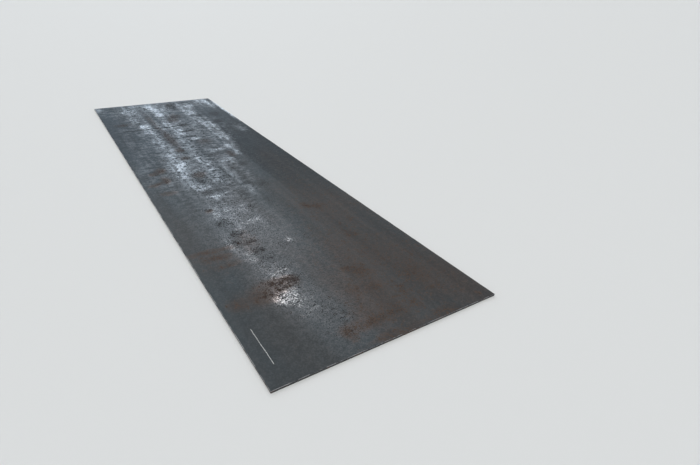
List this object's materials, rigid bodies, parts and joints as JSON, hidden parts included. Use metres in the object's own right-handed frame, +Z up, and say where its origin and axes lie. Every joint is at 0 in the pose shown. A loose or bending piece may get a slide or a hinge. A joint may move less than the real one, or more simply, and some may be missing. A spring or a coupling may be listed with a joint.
{
  "type": "steel plate",
  "caption": "Long flat rectangular hot-rolled steel plate, sheared on all sides, used as raw stock for cutting, welding and covering.",
  "frame": {"origin": "centre of the bottom face", "axes": "+X along the length, which is the rolling direction, +Y across the width, +Z up through the thickness; the short end towards the picture's camera is at -X"},
  "size_m": [8, 2.2, 0.02],
  "materials": {
    "mill_scale": "blue-grey rolling scale, semi-matt, with patches of red-brown rust"
  },
  "bodies": {
    "root": {"steel_plate": "mill_scale"}
  },
  "joints": []
}
